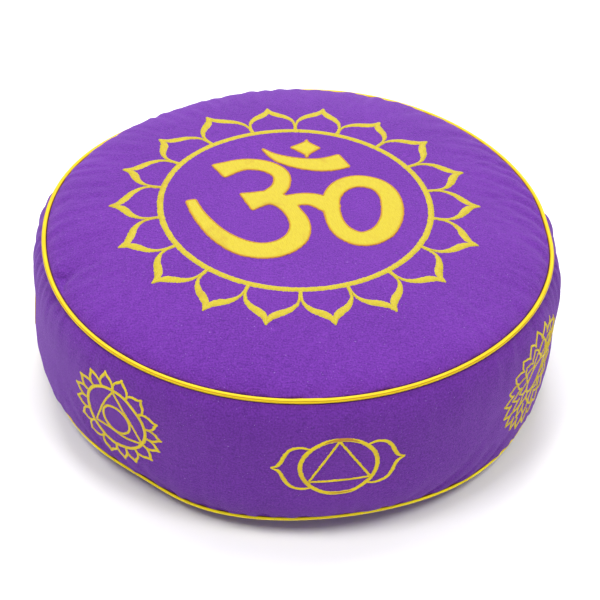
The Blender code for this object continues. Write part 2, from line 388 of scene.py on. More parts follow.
def body_weave(points):
    """UV pairs in metres: flat on the top and bottom panels, unrolled on the band."""
    columns, rows = points.shape[:2]
    steps = np.linalg.norm(np.diff(points, axis=1), axis=2).mean(axis=0)
    up = np.concatenate([[0.0], np.cumsum(steps)])
    around = 2 * math.pi * BAND_RADIUS * np.arange(columns + 1) / columns
    pairs = grid_weave(around, up)
    flat = points[..., :2]
    beside = np.roll(flat, -1, axis=0)
    panels = np.stack([flat[:, :-1], beside[:, :-1], beside[:, 1:], flat[:, 1:]], axis=2)
    row = np.arange(rows - 1)
    low, high = (ROWS_PER_STEP * step for step in BAND_ROWS)
    on_band = (row >= low) & (row < high)
    return np.where(on_band[None, :, None, None], pairs, panels).reshape(-1, 2)


def cloth_grid(sections, times):
    """Points of the cloth, from each station's section to finer columns."""
    pairs = finer(sections, times, True)
    azimuth = 360.0 * np.arange(len(pairs))[:, None] / len(pairs)
    return polar_place(azimuth, pairs[..., 0], pairs[..., 1])


def turn_between(first, second):
    """Signed angle from the second azimuth to the first, from -180 to 180 degrees."""
    return (first - second + 180.0) % 360.0 - 180.0


def bell(offset, half_width):
    """One in the middle, falling smoothly to nothing on either side."""
    return np.exp(-((offset / half_width) ** 2))


def grid_normals(points):
    """Outward directions over a grid of points."""
    around = np.roll(points, -1, axis=0) - np.roll(points, 1, axis=0)
    up = np.gradient(points, axis=1)
    normal = np.cross(around, up)
    return normal / np.maximum(np.linalg.norm(normal, axis=2, keepdims=True), 1e-12)


def from_seam(points, panel):
    """Distance in millimetres of each point from its panel's seam, endless elsewhere."""
    columns, rows = points.shape[:2]
    first, last = (ROWS_PER_STEP * row for row in PANELS[panel])
    step = 1 if last > first else -1
    run = np.arange(first, last + step, step)
    lengths = np.linalg.norm(np.diff(points[:, run], axis=1), axis=2)
    distance = np.full((columns, rows), np.inf)
    distance[:, run[0]] = 0.0
    distance[:, run[1:]] = np.cumsum(lengths, axis=1) / MILLIMETRE
    return distance


def lift_at(azimuth, table):
    """The height in metres that a table's rows add up to at each azimuth."""
    lift = 0.0 * azimuth
    for where, half_width, high in table:
        lift += high * bell(turn_between(azimuth, where), half_width)
    return lift * MILLIMETRE


def gather_rows(seed, depth, reach, lean):
    """A seam's small gathers, as rows of FOLDS."""
    random = np.random.default_rng(seed)
    rows = []
    azimuth = 0.0
    while azimuth < 360.0:
        half_width = random.uniform(*GATHER_HALF_WIDTH)
        deep = depth * random.uniform(*GATHER_DEPTHS)
        far = reach * random.uniform(*GATHER_REACHES)
        rows.append((azimuth, half_width, deep, far, random.normal(0.0, lean)))
        azimuth += random.uniform(*GATHER_SPACING)
    return rows


def folded(points):
    """The grid with its folds and gathers pressed in beside each seam."""
    azimuth = 360.0 * np.arange(len(points))[:, None] / len(points)
    depth = np.zeros(points.shape[:2])
    for panel, *gather in GATHERS:
        distance = from_seam(points, panel)
        on_panel = np.isfinite(distance)
        near = np.where(on_panel, distance, 0.0)
        hold = np.clip(near / FOLD_LEAD_IN, FOLD_AT_SEAM, 1.0) * on_panel
        for where, half_width, deep, reach, lean in list(FOLDS[panel]) + gather_rows(*gather):
            run = near / reach
            off = turn_between(azimuth, where + lean * run)
            wide = half_width * (1.0 + FOLD_WIDENS * run)
            depth += deep * np.exp(-(run**FOLD_FADE)) * hold * bell(off, wide)
    points = points - grid_normals(points) * depth[..., None] * MILLIMETRE
    lip = bell(from_seam(points, "band_bottom") - OVERHANG_MIDDLE, OVERHANG_REACH)
    outward = polar_place(azimuth, np.ones_like(azimuth), np.zeros_like(azimuth))
    points = points + outward * (OVERHANG_OUT * MILLIMETRE * lip)[..., None]
    lift = lift_at(azimuth, FRONT_LIFT + LIP_NOTCHES) - OVERHANG_DOWN * MILLIMETRE
    points[..., 2] += lift * lip
    return points


def cloth_surface(points):
    """Flat list of a grid's points and its two middle points, with all faces."""
    columns, rows = points.shape[:2]
    faces = grid_faces(columns, rows, True)
    flat = points.reshape(-1, 3)
    under = len(flat)
    top_height = points[:, -1, 2].mean()
    flat = np.vstack([flat, [0.0, 0.0, 0.0], [0.0, 0.0, top_height]])
    for column in range(columns):
        beside = (column + 1) % columns
        faces.append((under, beside * rows, column * rows))
        faces.append((under + 1, column * rows + rows - 1, beside * rows + rows - 1))
    return flat, faces


def simulated(points):
    """How far each point of the grid moves as the filling puckers its slack cloth."""
    columns, rows = points.shape[:2]
    flat, faces = cloth_surface(points)
    random = np.random.default_rng(SIM_SEED)
    mesh = bpy.data.meshes.new("cloth_trial")
    mesh.from_pydata([tuple(point) for point in flat], [], faces)
    trial = linked("cloth_trial", mesh)
    steps = np.arange(rows) / ROWS_PER_STEP
    held = np.zeros(rows)
    for first, last in SEAM_ROWS:
        held[(steps >= first) & (steps <= last)] = 1.0
    held[(steps <= 0.5) | (steps >= STITCHED_ROW)] = 1.0
    slack = np.zeros(rows)
    for middle, reach, amount in SIM_SLACK:
        slack = np.maximum(slack, amount * bell(steps - middle, reach))
    azimuth = 360.0 * np.arange(columns) / columns
    loose = np.full(columns, SIM_LOOSE_EVERYWHERE)
    for where, half_width, extra in SIM_LOOSE:
        loose += extra * bell(turn_between(azimuth, where), half_width)
    groups = {"held": np.tile(held, columns), "slack": np.outer(loose, slack).ravel()}
    for name, weights in groups.items():
        group = trial.vertex_groups.new(name=name)
        for corner in np.flatnonzero(weights):
            group.add([int(corner)], float(weights[corner]), "REPLACE")
    trial.vertex_groups["held"].add([len(flat) - 2, len(flat) - 1], 1.0, "REPLACE")
    nudge = random.normal(0.0, SIM_NUDGE, (2, columns))
    nudge = (nudge + np.roll(nudge, 1, axis=1)) / 2
    swing = steps * 2 * math.pi / SIM_NUDGE_ROWS
    ridges = nudge[0][:, None] * np.cos(swing) + nudge[1][:, None] * np.sin(swing)
    start = flat.copy()
    pushed = grid_normals(points) * (ridges * (1.0 - held))[..., None]
    start[: columns * rows] += pushed.reshape(-1, 3)
    mesh.vertices.foreach_set("co", start.astype(np.float32).ravel())
    cloth = trial.modifiers.new("cloth", "CLOTH")
    for name, value in SIM_SETTINGS.items():
        setattr(cloth.settings, name, value)
    cloth.settings.effector_weights.gravity = 0.0
    cloth.collision_settings.use_collision = False
    cloth.point_cache.frame_start = 1
    cloth.point_cache.frame_end = SIM_FRAMES
    scene = bpy.context.scene
    for number in range(1, SIM_FRAMES + 1):
        scene.frame_set(number)
    settled = trial.evaluated_get(bpy.context.evaluated_depsgraph_get()).data
    result = np.empty(len(flat) * 3)
    settled.vertices.foreach_get("co", result)
    scene.frame_set(1)
    bpy.data.objects.remove(trial)
    bpy.data.meshes.remove(mesh)
    return result.reshape(-1, 3)[: columns * rows].reshape(points.shape) - points


def puckers(moved):
    """What the simulation moved, less its slow swelling, capped."""
    columns = len(moved)
    window = np.zeros(columns)
    half = columns * SWELL_WINDOW // 720
    window[: half + 1] = 1.0
    window[-half:] = 1.0
    window /= window.sum()
    slow = np.fft.ifft(
        np.fft.fft(moved, axis=0) * np.fft.fft(window)[:, None, None], axis=0
    ).real
    quick = PUCKER_SHARE * (moved - slow)
    size = np.linalg.norm(quick, axis=2, keepdims=True)
    return quick * np.minimum(1.0, PUCKER_CAP / np.maximum(size, 1e-9))


def make_body():
    """The cushion's cloth, finer than the solid that it stands for."""
    sections = finer(body_sections().transpose(1, 0, 2), ROWS_PER_STEP, False)
    coarse = cloth_grid(sections.transpose(1, 0, 2), SIM_COLUMNS_PER_STATION)
    points = cloth_grid(
        sections.transpose(1, 0, 2), SIM_COLUMNS_PER_STATION * COLUMNS_PER_SIM_COLUMN
    )
    columns, rows = points.shape[:2]
    points = points + finer(puckers(simulated(coarse)), COLUMNS_PER_SIM_COLUMN, True)
    points = folded(points)
    points[..., 2] = np.maximum(points[..., 2], 0.0)
    flat, faces = cloth_surface(points)
    weave = [body_weave(points)]
    weave += [flat[list(face), :2] for face in faces[columns * (rows - 1):]]
    body = new_piece("cushion_cloth_body", flat, faces, np.vstack(weave))
    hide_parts("cushion")
    body.data.materials.append(cloth_material())
    return body


def make_piping(name, satin, dark, light):
    """One satin cord, finer than the solid that it stands for."""
    line = finer(cord_line(name), PIPING_COLUMNS_PER_STATION, True)
    columns = len(line)
    azimuth = 360.0 * np.arange(columns)[:, None] / columns
    if name == "piping_bottom":
        line = line + np.hstack([PIPING_OUT + 0.0 * azimuth, lift_at(azimuth, FRONT_LIFT)])
    turn = 2 * np.pi * np.arange(PIPING_SIDES + 1)[None] / PIPING_SIDES
    where, half_width, join_turn, half_turn, thicker = PIPING_JOIN
    slow = sum(
        swing * np.sin(np.radians(times * azimuth + phase))
        for times, swing, phase in PIPING_TWIST
    )
    share = 1.0 + PIPING_RIDGE * np.cos(PIPING_RIDGES * turn + slow)
    if name == "piping_top":
        along_join = 1.0 / (1.0 + (turn_between(azimuth, where) / half_width) ** JOIN_STEEPNESS)
        round_join = bell(turn_between(np.degrees(turn), join_turn), half_turn)
        share = share + thicker * along_join * round_join
    reach = PIPING_RADIUS[name] * share
    radius = line[:, :1] + reach * np.cos(turn)
    height = line[:, 1:] + reach * np.sin(turn)
    points = polar_place(azimuth, radius, height).reshape(-1, 3)
    faces = grid_faces(columns, PIPING_SIDES + 1, True)
    along = 2 * math.pi * BAND_RADIUS * np.arange(columns + 1) / columns
    uv = grid_weave(along, PIPING_RADIUS[name] * turn[0]).reshape(-1, 2)
    piece = new_piece(name + "_satin", points, faces, uv)
    piece.data.materials.append(satin_material(satin, dark, light, name))
    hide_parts(name)


# Embroidery

# The Om in the middle of the top panel, as broad strokes: x_mm, y_mm, width_mm
OM_STROKES = {
    "upper_bowl": (
        (-54.7, 31.5, 17.4), (-47.5, 36.4, 14.4), (-40, 40.6, 12.6), (-32, 41.8, 12.2),
        (-23.5, 40.2, 12), (-16.6, 36, 11.6), (-12.6, 29.8, 11.2), (-12, 22.5, 11),
        (-13.4, 15.5, 11.2), (-17.5, 9, 11.5), (-23.5, 4.5, 9),
    ),
    "lower_bowl": (
        (-34.5, -2.2, 20.4), (-28, 1, 16.6), (-21, 3.8, 14.5), (-14, 2.4, 13.6), (-8, -3.4, 12),
        (-3.6, -10.6, 11.4), (0, -18.6, 12.4), (1.5, -27.5, 13.2), (0, -37.2, 14.2),
        (-4.9, -45.4, 14.8), (-12.7, -51.2, 15.2), (-22.5, -53.4, 14.9), (-33.4, -51.2, 14.8),
        (-43.5, -44.9, 13.2), (-51.6, -36.9, 11.4), (-58.4, -27.4, 9.8), (-64.8, -16.4, 8.2),
        (-70.3, -3.1, 6.9),
    ),
    "arm": (
        (-13, -1, 10), (-4, 2.4, 12.2), (4.5, 4.4, 12.6), (12, 3, 13.6), (19, -2, 14.5),
        (22, -6, 12),
    ),
    "crescent": (
        (-26.8, 61.4, 1), (-20.5, 54.6, 4.8), (-13, 49.4, 8.8), (-4, 46.2, 11.2), (5, 44.6, 13),
        (13.5, 44.8, 14.6), (21.5, 47.2, 16), (29, 51.2, 16.2),
    ),
}
OM_LOOP = (
    # x_mm, y_mm, width_mm
    (41, 27.5, 12.4), (51.4, 24, 12.4), (58.1, 14.6, 13), (60.6, 0, 14.2), (59.6, -14, 14),
    (54.8, -27.2, 14.2), (46.8, -34.8, 14.2), (38.4, -36.4, 13.6), (30.4, -31.4, 12.8),
    (25.2, -23.4, 11.4), (22.3, -13, 10.6), (20.9, -1, 10.6), (21.6, 10.2, 11.2),
    (26, 19.8, 12), (32.6, 25.6, 12.4),
)
OM_DIAMOND = (
    # x_mm, y_mm
    (3, 75.8), (4.2, 71.8), (7.2, 69), (12.6, 65), (8.2, 60.6), (4.9, 56.8), (3.8, 51.2),
    (2.4, 56.2), (-2.2, 60.2), (-8.2, 64.2), (-2.6, 68.4), (1.4, 71.6),
)

TOP_RING = (-2.1, -1.7, 87.8, 4.4)  # middle x and y, radius and width, in millimetres
TOP_PETALS = (
    # stem_deg, tip_deg, tip_radius_mm: from the rear, clockwise seen from above
    (-2, 7.4, 122.3), (16.6, 27.6, 119.2), (36.2, 45.8, 122.3), (56, 65.2, 122.3),
    (75, 83.4, 121.5), (94.8, 104.8, 121.3), (115.8, 126.6, 118.4), (137.8, 147.6, 120.5),
    (157.4, 166.6, 119.6), (176.4, 186.8, 119.5), (197.2, 206, 120.1), (216, 225.4, 120.1),
    (236.2, 245.6, 120.7), (256.4, 266.4, 120.7), (277.8, 286.4, 120.7), (297.2, 307, 119.4),
    (318.6, 328, 123.2), (339, 348.6, 120.2),
)
# Half a petal, from its stem to its tip
TOP_TIP = 120.5
TOP_PETAL_HALF = (
    # share of the turn from stem to tip, radius_mm at a 120.5 mm tip, width_mm
    (0.035, 89, 1.7), (0.035, 95.5, 1.8), (0.10, 100.2, 2.4), (0.23, 103.8, 3.5),
    (0.43, 107.3, 4.9), (0.64, 109.7, 5.8), (0.82, 112.4, 5.6), (0.93, 115.4, 3.9),
    (1.00, 120.8, 1),
)


def evened(curve):
    """Rows at every STITCH_STEP along a stroke, and how far along it each one is."""
    steps = np.hypot(*np.diff(curve[:, :2], axis=0).T)
    travelled = np.concatenate([[0.0], np.cumsum(steps)])
    count = max(3, int(round(travelled[-1] / STITCH_STEP)) + 1)
    spots = np.linspace(0.0, travelled[-1], count)
    columns = [np.interp(spots, travelled, column) for column in curve.T]
    return np.stack(columns, axis=1), spots


def smooth_path(rows, closed=False):
    """The same for a smooth curve through the rows."""
    curve = finer(np.array(rows, dtype=float), CURVE_TIMES, closed)
    if closed:
        curve = np.vstack([curve, curve[:1]])
    even, spots = evened(curve)
    return (even[:-1], spots[:-1]) if closed else (even, spots)


def sideways(path, closed):
    """Unit directions across a path, to the left of the way it runs."""
    if closed:
        ahead = np.roll(path, -1, axis=0) - np.roll(path, 1, axis=0)
    else:
        ahead = np.gradient(path, axis=0)
    length = np.maximum(np.hypot(ahead[:, 0], ahead[:, 1]), 1e-9)[:, None]
    ahead = ahead / length
    return np.stack([-ahead[:, 1], ahead[:, 0]], axis=1)


class Hoop:
    """A flat working area in millimetres, laid onto the finished cloth."""

    def __init__(self, tree, azimuth=None, height=None, tilt=0.0, squeeze=1.0):
        self.tree = tree
        self.azimuth = azimuth
        self.height = height
        self.tilt = math.radians(tilt)
        self.squeeze = squeeze

    def rays(self, points):
        """Where each ray starts and which way it runs, for points of the hoop."""
        x = points[:, 0] * math.cos(self.tilt) - points[:, 1] * math.sin(self.tilt)
        y = points[:, 0] * math.sin(self.tilt) + points[:, 1] * math.cos(self.tilt)
        if self.azimuth is None:
            starts = np.stack([x, y, np.full(len(x), RAY_START / MILLIMETRE)], axis=1)
            ways = np.tile([0.0, 0.0, -1.0], (len(x), 1))
            return starts * MILLIMETRE, ways
        azimuth = self.azimuth + x / BAND_MM_PER_DEGREE
        height = (self.height + y * self.squeeze) * MILLIMETRE
        starts = polar_place(azimuth, np.full(len(x), RAY_START), height)
        ways = polar_place(azimuth, np.full(len(x), -1.0), np.zeros(len(x)))
        return starts, ways

    def lay(self, points, rise):
        """Points of the hoop on the cloth, each raised over it by so many millimetres."""
        starts, ways = self.rays(points)
        laid = np.empty((len(points), 3))
        for index, (start, way) in enumerate(zip(starts, ways)):
            spot, normal, _, _ = self.tree.ray_cast(Vector(start), Vector(way))
            laid[index] = spot + normal * (rise[index] * MILLIMETRE)
        return laid


class Stitches:
    """Collects the laid strokes of one embroidered piece."""

    def __init__(self, hoop, seed):
        self.hoop = hoop
        self.random = np.random.default_rng(seed)
        self.points = []
        self.faces = []
        self.uvs = []
        self.count = 0

    def add(self, laid, faces, uv):
        self.points.append(laid)
        for face in faces:
            self.faces.append(tuple(self.count + corner for corner in face))
            self.uvs.extend(uv[corner] for corner in face)
        self.count += len(laid)

    def satin(self, path, travelled, closed=False, rise=STITCH_RISE):
        """One stroke of satin stitches along a path of x, y and width rows."""
        middle = path[:, :2]
        across = sideways(middle, closed)
        half = path[:, 2:3] / 2
        ragged = self.random.normal(0.0, EDGE_JITTER, (len(path), 2))
        places = []
        rises = []
        spans = []
        lift = np.full(len(path), rise)
        if not closed:
            lift[[0, -1]] *= END_RISE
        for share, level in STITCH_SECTION:
            off = share * half[:, 0]
            if abs(share) == 1.0:
                off = off + ragged[:, 0 if share < 0 else 1]
            places.append(middle + across * off[:, None])
            rises.append(lift * level - (STITCH_SINK if abs(share) == 1.0 else 0.0))
            spans.append(off)
        points = np.stack(places, axis=1).reshape(-1, 2)
        laid = self.hoop.lay(points, np.stack(rises, axis=1).ravel())
        rows = len(STITCH_SECTION)
        along = np.repeat(travelled, rows) * MILLIMETRE
        uv = np.stack([along, np.stack(spans, axis=1).ravel() * MILLIMETRE], axis=1)
        self.add(laid, grid_faces(len(path), rows, closed), uv)

    def stroke(self, rows, closed=False):
        path, travelled = smooth_path(rows, closed)
        self.satin(path, travelled, closed)

    def line(self, rows):
        path, travelled = evened(np.array(rows))
        self.satin(path, travelled)

    def circle(self, x, y, radius, width):
        turns = np.radians(np.arange(0.0, 360.0, 15.0))
        rows = [(x + radius * math.sin(t), y + radius * math.cos(t), width) for t in turns]
        self.stroke(rows, closed=True)

    def piece(self, name, material, slot):
        points = np.vstack(self.points)
        made = new_piece(name, points, self.faces, self.uvs)
        made.data.materials.append(material)
        return made


def polar_row(turn, radius, width, middle=(0.0, 0.0)):
    """A stroke's row from a clockwise turn in degrees and a radius."""
    angle = math.radians(turn)
    x, y = middle
    return (x + radius * math.sin(angle), y + radius * math.cos(angle), width)


def petal_ring(stitches, petals, half, tip_at, middle=(0.0, 0.0)):
    """Petals side by side: each stem sends one stroke to the tip on either side."""
    for index, (stem, tip, tip_radius) in enumerate(petals):
        _, before_tip, before_radius = petals[index - 1]
        if index == 0:
            before_tip -= 360.0
        for tip_turn, radius_at_tip in ((tip, tip_radius), (before_tip, before_radius)):
            rows = []
            for share, radius, width in half:
                stretch = 1.0 + (radius_at_tip / tip_at - 1.0) * share
                turn = stem + (tip_turn - stem) * share
                rows.append(polar_row(turn, radius * stretch, width, middle))
            stitches.stroke(rows)


def depth_inside(points, outline):
    """How deep each point lies inside a closed outline, below zero outside it."""
    nearest = np.full(len(points), np.inf)
    inside = np.zeros(len(points), dtype=bool)
    for start, end in zip(outline, np.roll(outline, -1, axis=0)):
        along = end - start
        offset = points - start
        share = np.clip((offset @ along) / max(along @ along, 1e-12), 0.0, 1.0)
        gap = offset - share[:, None] * along
        nearest = np.minimum(nearest, np.hypot(gap[:, 0], gap[:, 1]))
        spans = (start[1] > points[:, 1]) != (end[1] > points[:, 1])
        if start[1] != end[1]:
            cut = start[0] + (points[:, 1] - start[1]) * along[0] / along[1]
            inside ^= spans & (points[:, 0] < cut)
    return np.where(inside, nearest, -nearest)


def stroke_outline(rows):
    """Closed outline of a broad stroke with straight-cut ends."""
    path, _ = smooth_path(rows)
    across = sideways(path[:, :2], False) * path[:, 2:3] / 2
    return np.vstack([path[:, :2] + across, (path[:, :2] - across)[::-1]])


def om_depth(points):
    """Depth inside the whole Om: its strokes, its ring-like loop and its diamond."""
    depths = [depth_inside(points, stroke_outline(rows)) for rows in OM_STROKES.values()]
    path, _ = smooth_path(OM_LOOP, True)
    across = sideways(path[:, :2], True) * path[:, 2:3] / 2
    one_side = depth_inside(points, path[:, :2] + across)
    other_side = depth_inside(points, path[:, :2] - across)
    outer = np.maximum(one_side, other_side)
    hole = np.minimum(one_side, other_side)
    depths.append(np.minimum(outer, -hole))
    depths.append(depth_inside(points, np.array(OM_DIAMOND)))
    return np.max(depths, axis=0)


def filled_shape():
    """Flat mesh of the Om: points, depth at each point, faces and outline loops."""
    low, high = np.array(OM_BOX[:2]), np.array(OM_BOX[2:])
    counts = np.ceil((high - low) / OM_CELL).astype(int) + 1
    xs = low[0] + OM_CELL * np.arange(counts[0])
    ys = low[1] + OM_CELL * np.arange(counts[1])
    points = np.stack(np.meshgrid(xs, ys, indexing="ij"), axis=-1)
    depth = om_depth(points.reshape(-1, 2)).reshape(counts)
    slope = np.stack(np.gradient(depth, OM_CELL), axis=-1)
    steep = np.maximum((slope**2).sum(axis=-1), 0.25)
    near = np.abs(depth) < OM_SNAP * OM_CELL
    moved = points - slope * (depth / steep)[..., None]
    points = np.where(near[..., None], moved, points)
    depth = np.where(near, 0.0, depth)
    middle_depth = (depth[:-1, :-1] + depth[1:, :-1] + depth[1:, 1:] + depth[:-1, 1:]) / 4
    faces = []
    for column in range(counts[0] - 1):
        for row in range(counts[1] - 1):
            if middle_depth[column, row] < -OM_CELL:
                continue
            corners = ((column, row), (column + 1, row), (column + 1, row + 1), (column, row + 1))
            kept = [corner for corner in corners if depth[corner] >= 0.0]
            deep = sum(depth[corner] for corner in kept)
            if len(kept) >= 3 and deep > 0.0:
                faces.append(tuple(c * counts[1] + r for c, r in kept))
    used = sorted({corner for face in faces for corner in face})
    place = {corner: index for index, corner in enumerate(used)}
    faces = [tuple(place[corner] for corner in face) for face in faces]
    return points.reshape(-1, 2)[used], depth.ravel()[used], faces


def outline_loops(faces):
    """Runs of corners round the open edges of a flat mesh."""
    following = {}
    pairs = {(face[i], face[(i + 1) % len(face)]) for face in faces for i in range(len(face))}
    for start, end in pairs:
        if (end, start) not in pairs:
            following[start] = end
    loops = []
    while following:
        start, here = following.popitem()
        loop = [start]
        while here in following:
            loop.append(here)
            here = following.pop(here)
        loops.append(loop)
    return loops


def make_om(tree, threads, edging):
    """The broad filled Om with its darker outline."""
    hoop = Hoop(tree)
    flat, depth, faces = filled_shape()
    share = np.clip(depth / OM_EDGE_WIDTH, 0.0, 1.0)
    rise = OM_RISE * np.sqrt(1.0 - (1.0 - share) ** 2) - STITCH_SINK * (share == 0.0)
    fill = Stitches(hoop, seed=11)
    turn = math.radians(OM_STITCH_TURN)
    along = flat[:, 0] * math.cos(turn) + flat[:, 1] * math.sin(turn)
    across = flat[:, 1] * math.cos(turn) - flat[:, 0] * math.sin(turn)
    uv = np.stack([along, across], axis=1) * MILLIMETRE
    fill.add(hoop.lay(flat, rise), faces, uv)
    fill.piece("embroidery_om", threads, "embroidery_thread")
    edge = Stitches(hoop, seed=12)
    for loop in outline_loops(faces):
        if len(loop) < OM_OUTLINE_LEAST:
            continue
        path = flat[loop]
        for _ in range(2):
            path = (np.roll(path, 1, axis=0) + 2 * path + np.roll(path, -1, axis=0)) / 4
        steps = np.hypot(*(np.roll(path, -1, axis=0) - path).T)
        travelled = np.concatenate([[0.0], np.cumsum(steps)])[:-1]
        widths = OM_OUTLINE_WIDTH + edge.random.normal(0.0, OM_OUTLINE_JITTER, len(path))
        rows = np.column_stack([path, widths])
        edge.satin(rows, travelled, closed=True, rise=OM_OUTLINE_RISE)
    edge.piece("embroidery_om_outline", edging, "embroidery_outline")


def make_top_ring(tree, threads):
    """The circle and the ring of petals round the Om."""
    stitches = Stitches(Hoop(tree), seed=21)
    x, y, radius, width = TOP_RING
    stitches.circle(x, y, radius, width)
    petal_ring(stitches, TOP_PETALS, TOP_PETAL_HALF, TOP_TIP, middle=(x, y))
    stitches.piece("embroidery_top_petals", threads, "embroidery_thread")


# The seven emblems round the side band; the far ones are the usual signs of the set
SIDE_EMBLEMS = (
    # name, azimuth_deg, height_mm, tilt_deg
    ("crown", 62.8, 65.5, 0.0),
    ("third_eye", 10.1, 68.1, 1.9),
    ("throat", -36.9, 67.0, 0.0),
    ("heart", -94.2, 51.0, 0.0),
    ("solar_plexus", -140.0, 67.0, 0.0),
    ("sacral", 166.0, 67.0, 0.0),
    ("root", 114.5, 67.0, 0.0),
)
THROAT_TIPS = (10, 38, 69, 91, 108, 128, 155, 171, 190, 223, 242, 264, 285, 306, 326, 348)
# The throat's triangle, whose sides bend a little
THROAT_LINES = (
    # x_mm, y_mm, width_mm
    ((-0.3, 22.2, 1.6), (-6.5, 12.2, 1.6), (-11.4, 1.6, 1.6), (-17.0, -12.4, 1.6)),
    ((-0.3, 22.2, 1.6), (6.0, 13.0, 1.6), (12.6, 3.0, 1.6), (20.6, -11.0, 1.6)),
    ((-17.0, -12.4, 1.5), (-6.0, -11.6, 1.5), (8.0, -13.2, 1.6), (20.6, -11.0, 1.5)),
)
# Half a petal of a side emblem
SIDE_PETAL_HALF = (
    # share of the turn from stem to tip, radius_mm at a 36 mm tip, width_mm
    (0.05, 24.6, 1.4), (0.05, 27.4, 1.5), (0.20, 29.4, 1.8), (0.45, 31.3, 2), (0.72, 32.4, 2.1),
    (0.90, 33.8, 1.8), (1.00, 36, 0.8),
)
SIDE_TIP = 36.0
SIDE_SQUEEZE = 0.94  # the band's emblems are a little lower than they are wide
PLAIN_CIRCLE = (23.4, 2.4)  # radius and width, in millimetres
MOON_RISE = 4.8
PLAIN_SIGNS = {
    # name: (petals, first_tip_deg, tip_radius_mm, shapes), and each shape is
    # (corners, or none for a circle, radius_mm, width_mm, turn_deg)
    "heart": (12, 20.0, 36.5, ((3, 21.4, 1.6, 0.0), (3, 21.4, 1.6, 180.0))),
    "solar_plexus": (10, 0.0, 36.5, ((3, 21.4, 1.7, 180.0),)),
    "sacral": (6, 0.0, 37.0, ((0, 17.0, 1.6, 0.0),)),
    "root": (4, 45.0, 37.5, ((4, 21.6, 1.7, 45.0), (3, 11.0, 1.5, 180.0))),
}
THIRD_EYE_PETAL = (
    # x_mm, y_mm, width_mm: the upper right quarter
    (16.6, 16.6, 1.4), (22.6, 17.8, 1.8), (28.8, 15.6, 2.4), (32.2, 10.6, 2.8),
    (34.2, 5.2, 2.7), (36.4, 1.9, 2.2), (40.3, 0, 0.8),
)
# The browner runs of thread along the third eye's circle
SHADE_RISE = 0.64
THIRD_EYE_SHADES = (
    # turn_deg, radius_mm, width_mm
    (
        (-24, 23.2, 0.7), (-10, 23.2, 2.1), (4, 23.3, 2.6), (18, 23.3, 2), (32, 23.2, 0.7),
    ),
    (
        (158, 22.5, 0.5), (172, 22.4, 1.1), (184, 22.4, 1.1), (198, 22.5, 0.5),
    ),
)
CROWN_RINGS = (
    # petals, first_tip_deg, stem_radius_mm, tip_radius_mm, width_mm
    (22, -8, 31.5, 41.5, 1.5), (15, 4, 21.5, 32, 1.4), (9, -12, 13.4, 23.5, 1.4),
)


def even_tips(count, first):
    return [first + 360.0 * index / count for index in range(count)]


def petals_at(tips, radius):
    """Rows of stem, tip and radius, with each stem halfway between two tips."""
    rows = []
    for index, tip in enumerate(tips):
        before = tips[index - 1] - (360.0 if index == 0 else 0.0)
        rows.append(((before + tip) / 2, tip, radius))
    return rows


def half_petal(stem_radius, tip_radius, width):
    """A plain half petal between two radii."""
    rise = tip_radius - stem_radius
    return (
        (0.05, stem_radius, width * 0.8),
        (0.06, stem_radius + 0.16 * rise, width * 0.9),
        (0.25, stem_radius + 0.42 * rise, width),
        (0.55, stem_radius + 0.62 * rise, width * 1.1),
        (0.84, stem_radius + 0.80 * rise, width),
        (1.00, tip_radius, width * 0.5),
    )


def polygon(stitches, count, radius, width, turn):
    """Straight lines of satin stitches, corner to corner."""
    corners = [polar_row(turn + 360.0 * index / count, radius, width) for index in range(count)]
    for index, corner in enumerate(corners):
        stitches.line([corners[index - 1], corner])


def draw_crown(stitches):
    stitches.circle(1.5, -1.0, 13.2, 1.9)
    for count, first, stem_radius, tip_radius, width in CROWN_RINGS:
        half = half_petal(stem_radius, tip_radius, width)
        petal_ring(stitches, petals_at(even_tips(count, first), tip_radius), half, tip_radius)


def draw_third_eye(stitches):
    stitches.circle(0.0, 0.0, 23.0, 3.0)
    stitches.line([(0.0, 22.2, 1.7), (-17.8, -11.4, 1.7)])
    stitches.line([(0.0, 22.2, 1.7), (18.6, -11.4, 1.7)])
    stitches.line([(-17.8, -11.6, 1.6), (18.6, -11.6, 1.6)])
    for across in (1, -1):
        for up in (1, -1):
            stitches.stroke([(across * x, up * y, width) for x, y, width in THIRD_EYE_PETAL])


def draw_throat(stitches):
    stitches.circle(0.0, 0.0, 23.6, 2.5)
    stitches.circle(1.0, -1.2, 10.7, 1.8)
    for rows in THROAT_LINES:
        stitches.stroke(rows)
    petal_ring(stitches, petals_at(THROAT_TIPS, SIDE_TIP), SIDE_PETAL_HALF, SIDE_TIP)


def draw_plain(stitches, petals, first_tip, tip_radius, shapes):
    """One of the plainer signs: a circle in a ring of petals, with shapes inside."""
    stitches.circle(0.0, 0.0, *PLAIN_CIRCLE)
    for corners, radius, width, turn in shapes:
        if corners:
            polygon(stitches, corners, radius, width, turn)
        else:
            stitches.circle(0.0, MOON_RISE, radius, width)
    tips = even_tips(petals, first_tip)
    petal_ring(stitches, petals_at(tips, tip_radius), SIDE_PETAL_HALF, SIDE_TIP)


DRAWINGS = {"crown": draw_crown, "third_eye": draw_third_eye, "throat": draw_throat}


def make_side_emblems(tree, threads, edging):
    for seed, (name, azimuth, height, tilt) in enumerate(SIDE_EMBLEMS):
        hoop = Hoop(tree, azimuth, height, tilt, squeeze=SIDE_SQUEEZE)
        stitches = Stitches(hoop, seed=30 + seed)
        if name in PLAIN_SIGNS:
            draw_plain(stitches, *PLAIN_SIGNS[name])
        else:
            DRAWINGS[name](stitches)
        stitches.piece("embroidery_" + name, threads, "embroidery_thread")
        if name == "third_eye":
            shade = Stitches(hoop, seed=40)
            for rows in THIRD_EYE_SHADES:
                path, travelled = smooth_path([polar_row(*row) for row in rows])
                shade.satin(path, travelled, rise=SHADE_RISE)
            shade.piece("embroidery_third_eye_shade", edging, "embroidery_outline")


